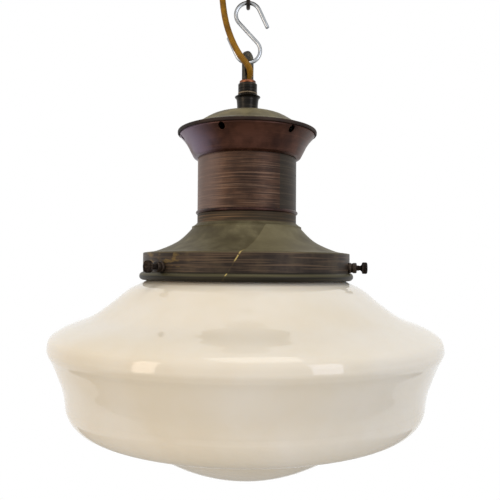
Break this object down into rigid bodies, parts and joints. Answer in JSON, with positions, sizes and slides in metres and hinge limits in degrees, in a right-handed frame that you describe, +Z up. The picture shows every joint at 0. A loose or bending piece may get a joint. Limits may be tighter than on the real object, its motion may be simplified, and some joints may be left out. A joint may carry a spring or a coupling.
{
  "type": "pendant light",
  "caption": "Opal glass pendant light of schoolhouse shape, held by thumbscrews in a patinated copper gallery and hung by a loop and an S hook from a ceiling rose.",
  "frame": {"origin": "centre of the back plate's flat top, on the ceiling", "axes": "+Z up, away from the light; -Y towards the viewer of the picture; +X to the viewer's right"},
  "size_m": [0.3048, 0.3048, 0.4372],
  "materials": {
    "galvanised_steel": "dull zinc",
    "patinated_brass": "khaki brown patina, satin",
    "patinated_copper": "dark brown patina with fine turning marks",
    "black_iron": "blackened",
    "bright_zinc": "bright zinc plate",
    "dark_bronze": "dark cast bronze",
    "bare_copper": "rubbed copper",
    "gunmetal": "dark turned metal",
    "bright_brass": "plain brass",
    "opal_glass": "glossy opal glass",
    "porcelain": "glazed white",
    "flex_covering": "old gold woven covering",
    "core_insulation": "brown insulation",
    "black_rubber": "matt",
    "white_nylon": "matt",
    "bulb_aluminium": "rolled sheet",
    "black_glass": "vitrite",
    "frosted_glass": "frosted inside"
  },
  "bodies": {
    "ceiling": {"back_plate": "galvanised_steel", "ceiling_rose": "patinated_brass", "rose_hook": "black_iron", "rose_nut": "bright_brass", "flex_bush": "black_rubber", "terminal_block": "porcelain", "terminal_inserts": "bright_brass", "earth_screw": "bright_brass", "flex_in_rose": "flex_covering", "rose_cores": "core_insulation", "flex_upper": "flex_covering"},
    "s_hook": {"s_hook": "bright_zinc", "flex_lower": "flex_covering"},
    "lamp": {"flex_in_stem": "flex_covering", "top_loop": "dark_bronze", "copper_ring": "bare_copper", "collar": "gunmetal", "cord_grip": "white_nylon", "brass_washer": "bright_brass", "lock_nut": "gunmetal", "stem": "bright_brass", "cap": "patinated_brass", "cap_nut": "bright_brass", "vent_flare": "patinated_copper", "carrier_plate": "galvanised_steel", "carrier_nuts": "bright_brass", "neck_tube": "patinated_copper", "neck_bead": "patinated_copper", "gallery": "patinated_brass", "screw_bosses": "patinated_copper", "opal_shade": "opal_glass", "holder_top": "bright_brass", "holder_body": "bright_brass", "holder_ring": "bright_brass", "holder_insert": "porcelain", "holder_contacts": "bright_brass", "holder_cores": "core_insulation"},
    "tip_1": {"tip_1": "white_nylon"},
    "thumbscrew_1": {"thumbscrew_1": "patinated_copper"},
    "tip_2": {"tip_2": "white_nylon"},
    "thumbscrew_2": {"thumbscrew_2": "patinated_copper"},
    "tip_3": {"tip_3": "white_nylon"},
    "thumbscrew_3": {"thumbscrew_3": "patinated_copper"},
    "bulb": {"bulb_cap": "bulb_aluminium", "bulb_insulator": "black_glass", "bulb_glass": "frosted_glass"}
  },
  "joints": [
    {"name": "s_hook_swing", "type": "hinge", "parent": "ceiling", "child": "s_hook", "pos_m": [0, 0, -0.0608], "axis": [0, 1, 0], "range_deg": [-12, 12], "deforming": ["flex_upper"]},
    {"name": "lamp_swing", "type": "hinge", "parent": "s_hook", "child": "lamp", "pos_m": [0, 0, -0.1067], "axis": [1, 0, 0], "range_deg": [-15, 15], "deforming": ["flex_lower"]},
    {"name": "tip_slide_1", "type": "slide", "parent": "lamp", "child": "tip_1", "axis": [-0.7314, -0.682, 0], "range_m": [0, 0.0056]},
    {"name": "thumbscrew_turn_1", "type": "hinge", "parent": "tip_1", "child": "thumbscrew_1", "pos_m": [0, 0, -0.2735], "axis": [-0.7314, -0.682, 0], "range_deg": [0, 2885]},
    {"name": "tip_slide_2", "type": "slide", "parent": "lamp", "child": "tip_2", "axis": [0.9563, -0.2924, 0], "range_m": [0, 0.0056]},
    {"name": "thumbscrew_turn_2", "type": "hinge", "parent": "tip_2", "child": "thumbscrew_2", "pos_m": [0, 0, -0.2735], "axis": [0.9563, -0.2924, 0], "range_deg": [0, 2885]},
    {"name": "tip_slide_3", "type": "slide", "parent": "lamp", "child": "tip_3", "axis": [-0.225, 0.9744, 0], "range_m": [0, 0.0056]},
    {"name": "thumbscrew_turn_3", "type": "hinge", "parent": "tip_3", "child": "thumbscrew_3", "pos_m": [0, 0, -0.2735], "axis": [-0.225, 0.9744, 0], "range_deg": [0, 2885]},
    {"name": "bulb_out", "type": "slide", "parent": "lamp", "child": "bulb", "axis": [0, 0, -1], "range_m": [0, 0.024]}
  ],
  "couplings": [
    {"joint": "thumbscrew_turn_1", "follows": "tip_slide_1", "rad_per_m": 8976},
    {"joint": "thumbscrew_turn_2", "follows": "tip_slide_2", "rad_per_m": 8976},
    {"joint": "thumbscrew_turn_3", "follows": "tip_slide_3", "rad_per_m": 8976}
  ]
}
